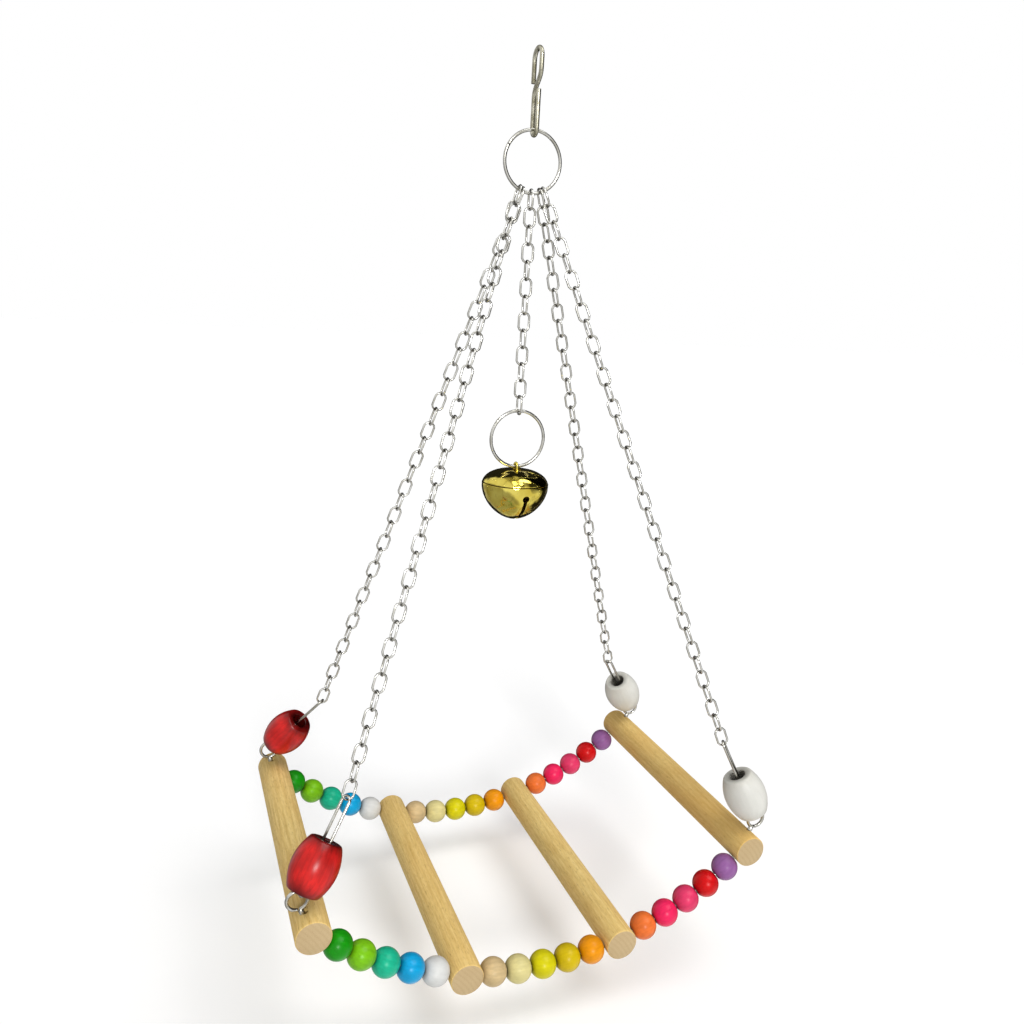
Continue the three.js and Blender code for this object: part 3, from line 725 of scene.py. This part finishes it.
def addEye(corner):
    node = "screw_eye_" + corner
    points, centre, lean = pointsOf(node), middleOf(node), eyeLean(corner)
    reach = (points - np.array(centre)) @ np.array(lean)
    tip = points[reach < reach.min() + eye["tipDepth"] * mm].mean(0)
    tip = Vector((tip[0], centre.y, tip[2]))
    radius = (eye["outer"] - eye["wire"]) / 2
    length = (reach.max() - reach.min()) / mm - eye["outer"] + eye["wire"] / 2
    middle = tip + lean * ((length + radius) * mm)
    side = yAxis.cross(lean).normalized()
    # the ring springs from the shank with a short turn, and its end stops beside the neck
    ringPoints = arcPoints(middle, radius * mm, side, lean, -90, 270 - eye["opening"], eye["steps"])
    neck = middle - lean * ((radius + eye["neck"]) * mm)
    bm = wire([neck, *ringPoints], eye["wire"], eye["roundness"])
    section = [(0, 0)]
    turns = int(eye["sunk"] / eye["pitch"])
    slimmest, growth = eye["taper"]
    for number in range(turns):
        height = eye["firstTurn"] + number * (eye["sunk"] - eye["runOut"]) / turns
        core = (eye["shank"] / 2 - eye["thread"]) * min(1, slimmest + number * growth)
        section += [(core, height), (core + eye["thread"], height + eye["pitch"] * eye["crest"])]
    section += [(eye["shank"] / 2, eye["sunk"]), (eye["shank"] / 2, length - eye["shoulder"])]
    section += [(eye["wire"] / 2, length), (0, length)]
    shank = turned(section, eye["sides"])
    bmesh.ops.transform(shank, matrix=placed(tip, side, yAxis, side.cross(yAxis)), verts=shank.verts)
    opened(meshOf(shank), bm)
    piece(node + "_wire", bm, [eyeSteel], "cradle", [node])


for corner in corners:
    addEye(corner)
print("screw eyes in")

# barrel beads, two dyed red and two painted white
barrel = {
    "length": 17.5, "middle": 16, "end": 11, "bore": 6, "steps": 14, "sides": 72, "rim": (0.55, 45, 4),
    "fade": 3.2,
}
barrelPaint = {
    "left": {
        "slot": "barrel_red", "colour": (244, 68, 64), "thin": 0.75, "gloss": 0.3, "darkest": 0.32,
        "shine": 0.1, "tint": 0.7, "rimDyeAndShade": 1.0, "edge": (34, 2, 6), "mouthWearAndShade": 0.95, "under": (92, 22, 18),
        "scuffs": 0.25, "hollow": (24, 5, 5), "coat": 1.0, "lacquer": (226, 140, 136), "mouthReach": 1.5,
    },
    "right": {
        "slot": "barrel_white", "colour": (213, 212, 205), "thin": 0.4, "gloss": 0.3, "darkest": 0.82,
        "shine": 0.4, "tint": 0.5, "rimDyeAndShade": 0.3, "edge": (170, 165, 148), "mouthWearAndShade": 0.95,
        "under": (166, 150, 122), "scuffs": 0.55, "hollow": (46, 40, 30), "coat": 0.0,
        "lacquer": (255, 255, 255), "mouthReach": 0.9,
    },
}


def addBarrel(corner):
    node = "barrel_bead_" + corner
    centre = middleOf(node)
    up = Vector(joints["barrel_" + corner + "_slide"]["axis"]).normalized()
    side = up.cross(yAxis).normalized()
    turn = placed(centre, side, up.cross(side), up)
    half, bore = barrel["length"] / 2, barrel["bore"] / 2
    swell = (barrel["middle"] - barrel["end"]) / 2
    section = [(bore, -half)]
    for step in range(barrel["steps"] + 1):
        share = 2 * step / barrel["steps"] - 1
        section.append((barrel["middle"] / 2 - swell * share ** 2, share * half))
    section.append((bore, half))
    bm = turned(section, barrel["sides"], closed=True)
    soften(bm, *barrel["rim"])
    values = barrelPaint["left" if "left" in corner else "right"]
    markEdges(bm, bore, values["mouthReach"], half, barrel["fade"])
    look = paint("barrel_paint_" + corner, centre, turn.to_euler(), values)
    piece(node + "_turned", bm, [look], node, [node], turn)


for corner in corners:
    addBarrel(corner)
print("barrel beads turned")

# deck: four dowels on two bent wires, with round beads between them
dowel = {
    "diameter": 12, "length": 115, "steps": 6, "sides": 72, "chamfer": (0.5, 60, 3), "sharp": 30,
    "endFacing": 0.8, "endDepth": 0.1, "grainShift": 0.31, "tones": (0.02, 0.06, 0.06, 0.3),
}
rowWire = {
    "diameter": 1.6, "radius": 122, "steps": 90, "roundness": 5, "hole": 2.2, "through": 10, "blind": 3.3,
}


# the holes of a dowel lie where the row wires and the screw eyes go in, and the outer dowels aren't drilled
# through for the row wires
def dowelHoles(number, centre):
    bm = bmesh.new()
    for row in ("front", "back"):
        low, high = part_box("row_wire_" + row)
        deckMiddle = low.z + (rowWire["radius"] + rowWire["diameter"] / 2) * mm
        along = towards(Vector((centre.z - deckMiddle, 0, -centre.x)).normalized(), xAxis)
        middle = Vector((centre.x, (low.y + high.y) / 2, centre.z))
        before, after = (rowWire["blind" if number == outer else "through"] for outer in (1, 4))
        drill(bm, middle - along * (before * mm), middle + along * (after * mm), rowWire["hole"])
    for corner in corners:
        if number == (1 if "left" in corner else 4):
            foot, lean = Vector((centre.x, middleOf("screw_eye_" + corner).y, centre.z)), eyeLean(corner)
            drill(bm, foot + lean * (eye["holeFrom"] * mm), foot + lean * (eye["holeTo"] * mm), eye["hole"])
    return meshOf(bm)


def addDowel(number):
    node = f"dowel_{number}"
    centre = middleOf(node)
    half, radius = dowel["length"] / 2, dowel["diameter"] / 2
    heights = [half * (2 * step / dowel["steps"] - 1) for step in range(dowel["steps"] + 1)]
    bm = turned([(0, -half), *((radius, height) for height in heights), (0, half)], dowel["sides"])
    soften(bm, *dowel["chamfer"])
    bmesh.ops.transform(bm, matrix=placed(centre, xAxis, -zAxis, yAxis), verts=bm.verts)
    bm = reopened(cut(meshOf(bm), dowelHoles(number, centre)))
    # the flat ends show end grain
    for face in bm.faces:
        atEnd = abs(face.calc_center_median().y) > (half - dowel["endDepth"]) * mm
        face.material_index = int(atEnd and abs(face.normal.y) > dowel["endFacing"])
    tone = dowel["tones"][number - 1]
    shift = Vector((centre.x, number * dowel["grainShift"], centre.z))
    looks = [beech(node + "_beech", shift, tone), endGrain(node + "_end_grain", shift)]
    piece(node + "_turned", bm, looks, "cradle", [node], sharp=dowel["sharp"])


def addRowWire(row):
    node = "row_wire_" + row
    low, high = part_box(node)
    radius = rowWire["radius"] * mm
    middle = Vector((0, (low.y + high.y) / 2, low.z + radius + rowWire["diameter"] / 2 * mm))
    reach = degrees(asin(high.x / radius))
    points = arcPoints(middle, radius, xAxis, zAxis, -90 - reach, -90 + reach, rowWire["steps"])
    bm = wire(points, rowWire["diameter"], rowWire["roundness"])
    piece(node + "_bent", bm, [steel(node + "_steel")], "cradle", [node])


for number in range(1, 5):
    addDowel(number)
for row in ("front", "back"):
    addRowWire(row)
print("deck strung")

# round beads: each paint gives its colour as it is seen, how far the wood shows through, and its roughness
bead = {
    "diameter": 10, "bore": 2.2, "flat": 0.35, "steps": 22, "sides": 56, "rim": (0.3, 40, 3), "fade": 0.9,
    "mouthReach": 0.6, "edgeShare": 0.45,
}
beadPaint = {
    "green": ((20, 149, 10), 0.6, 0.28), "lime": ((122, 194, 18), 0.55, 0.3),
    "teal": ((24, 181, 141), 0.5, 0.3), "blue": ((8, 161, 216), 0.5, 0.26),
    "white": ((208, 208, 205), 0.2, 0.38), "natural": ((209, 183, 135), 0.5, 0.5),
    "cream": ((217, 205, 141), 0.35, 0.46), "lemon": ((209, 200, 4), 0.35, 0.38),
    "gold": ((207, 180, 4), 0.35, 0.38), "amber": ((235, 149, 2), 0.4, 0.38),
    "orange": ((235, 116, 50), 0.45, 0.38), "pink": ((240, 35, 93), 0.4, 0.32),
    "rose": ((224, 57, 103), 0.4, 0.34), "red": ((209, 7, 12), 0.45, 0.32),
    "violet": ((149, 96, 157), 0.4, 0.34),
}
beadPaintWearAndShade = {
    "darkest": 0.45, "shine": 0.45, "tint": 0.85, "rimDyeAndShade": 0.6, "mouthWearAndShade": 0.85, "under": (150, 116, 74),
    "scuffs": 0.22, "hollow": (84, 62, 36), "coat": 0.38, "lacquer": (255, 255, 255),
}


def addBead(node, paintName):
    joint = joints[node + "_spin"]
    centre, along = Vector(joint["pos_m"]), Vector(joint["axis"]).normalized()
    side = along.cross(yAxis).normalized()
    turn = placed(centre, side, along.cross(side), along)
    radius, bore = bead["diameter"] / 2, bead["bore"] / 2
    half = radius - bead["flat"]
    widest = asin(half / radius)
    section = [(bore, -half)]
    for step in range(bead["steps"] + 1):
        angle = widest * (2 * step / bead["steps"] - 1)
        section.append((radius * cos(angle), radius * sin(angle)))
    section.append((bore, half))
    bm = turned(section, bead["sides"], closed=True)
    soften(bm, *bead["rim"])
    markEdges(bm, bore, bead["mouthReach"], half, bead["fade"])
    colour, thin, gloss = beadPaint[paintName]
    edge = tuple(part * bead["edgeShare"] for part in colour)
    values = beadPaintWearAndShade | {"colour": colour, "thin": thin, "gloss": gloss, "edge": edge}
    # each bead shows another part of the wood's grain
    spin = turn @ Matrix.Rotation(random.uniform(0, 2 * pi), 4, "Z")
    look = paint("paint_" + node, centre, spin.to_euler(), values)
    piece(node + "_turned", bm, [look], node, [node], turn)


for node in sorted(frame["nodes"]):
    if node.startswith("bead_"):
        addBead(node, node.rsplit("_", 1)[1])
print("beads strung")

# jingle bell: two pressed shells, a wire loop through the dome and a loose ball
bell = {
    "diameter": 25, "dome": 6.4, "domeFullness": 2.3, "bowl": 12.7, "bowlFullness": 1.8, "wall": 0.6,
    "lap": 1.2, "gap": 0.3, "slot": 1.4, "eye": 2.6, "eyeDrop": 2.9, "sides": 96, "steps": 20,
    "rim": (0.12, 60, 2), "sharp": 30, "ball": 6, "ballDetail": 4,
}
bellLoop = {
    "wire": 1.0, "spread": 1.4, "bend": 0.6, "foot": 2.2, "steps": 18, "bendSteps": 6, "roundness": 4,
    "holeBelow": 1.2, "holeAbove": 0.6,
}
bellBrass = brass("bell_brass_polished")


def bellCurve(radius, height, fullness):
    points = []
    for step in range(bell["steps"] + 1):
        share = cos(pi / 2 * step / bell["steps"]) if step < bell["steps"] else 0
        across = (1 - share ** fullness) ** (1 / fullness) if step else 0
        points.append((radius * across, height * share))
    return points


# a shell turned from its section, whose heights count from the seam
def bellShell(section, seam):
    bm = turned(section, bell["sides"])
    soften(bm, *bell["rim"])
    bmesh.ops.translate(bm, verts=bm.verts, vec=(0, 0, seam))
    return meshOf(bm)


# the upper shell: its skirt fits into the lower one, and its edge rests just above that one's
def addDome(seam, top):
    outer, wall, gap, fullness = bell["diameter"] / 2, bell["wall"], bell["gap"], bell["domeFullness"]
    skirt, rim = outer - wall - gap, bell["lap"] + gap
    dome = [point for point in bellCurve(outer, bell["dome"], fullness) if point[1] > rim]
    edge = outer * (1 - (rim / bell["dome"]) ** fullness) ** (1 / fullness)
    inside = bellCurve(skirt - wall, bell["dome"] - wall, fullness)
    section = [*inside, (skirt, 0), (skirt, rim), (edge, rim), *reversed(dome)]
    holes = bmesh.new()
    for side in (-1, 1):
        foot = Vector((0, side * bellLoop["spread"] * mm, top))
        start, end = foot - zAxis * (bellLoop["holeBelow"] * mm), foot + zAxis * (bellLoop["holeAbove"] * mm)
        drill(holes, start, end, bellLoop["wire"] + 2 * gap)
    bm = reopened(cut(bellShell(section, seam), meshOf(holes)))
    piece("bell_dome", bm, [bellBrass], "bell", ["bell_upper_shell"], sharp=bell["sharp"])


# the lower shell: a slot runs up from below to a round eye on either side
def addBowl(seam):
    outer, wall, lap, fullness = bell["diameter"] / 2, bell["wall"], bell["lap"], bell["bowlFullness"]
    outside = bellCurve(outer, -bell["bowl"], fullness)
    inside = bellCurve(outer - wall, wall - bell["bowl"], fullness)
    section = [*outside, (outer, lap), (outer - wall, lap), *reversed(inside)]
    eyeHeight, through, deep = seam - bell["eyeDrop"] * mm, 2 * bell["diameter"] * mm, bell["bowl"] * mm
    size = Matrix.Diagonal((bell["slot"] * mm, through, deep, 1))
    slots, holes = bmesh.new(), bmesh.new()
    bmesh.ops.create_cube(slots, size=1, matrix=Matrix.Translation((0, 0, eyeHeight - deep / 2)) @ size)
    drill(holes, Vector((0, -through / 2, eyeHeight)), Vector((0, through / 2, eyeHeight)), bell["eye"])
    bm = reopened(cut(cut(bellShell(section, seam), meshOf(slots)), meshOf(holes)))
    piece("bell_bowl", bm, [bellBrass], "bell", ["bell_lower_shell"], sharp=bell["sharp"])


# the wire loop: its feet are bent outwards under the dome
def addBellLoop(top):
    thick, spread, bend, foot = (bellLoop[key] for key in ("wire", "spread", "bend", "foot"))
    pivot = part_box("bell_loop")[1].z / mm - thick / 2 - spread
    under = top / mm - bell["wall"] - bell["gap"] - thick / 2
    left, right = (Vector((0, side * (spread + bend), under + bend)) for side in (-1, 1))
    points = [Vector((0, -spread - foot, under))]
    points += arcPoints(left, bend, yAxis, zAxis, -90, 0, bellLoop["bendSteps"])
    points += arcPoints(Vector((0, 0, pivot)), spread, yAxis, zAxis, 180, 0, bellLoop["steps"])
    points += arcPoints(right, bend, yAxis, zAxis, 180, 270, bellLoop["bendSteps"])
    points.append(Vector((0, spread + foot, under)))
    bm = wire([point * mm for point in points], thick, bellLoop["roundness"])
    piece("bell_loop_wire", bm, [brass("bell_loop_brass")], "bell", ["bell_loop"])


def addClapper():
    bm = bmesh.new()
    bmesh.ops.create_icosphere(bm, subdivisions=bell["ballDetail"], radius=bell["ball"] / 2 * mm)
    look, place = steel("ball_steel", tarnished=0.5), Matrix.Translation(middleOf("bell_clapper"))
    piece("bell_ball", bm, [look], "clapper", ["bell_clapper"], place)


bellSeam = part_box("bell_lower_shell")[1].z - bell["lap"] * mm
bellTop = bellSeam + bell["dome"] * mm
addDome(bellSeam, bellTop)
addBowl(bellSeam)
addBellLoop(bellTop)
addClapper()
print("bell hung")
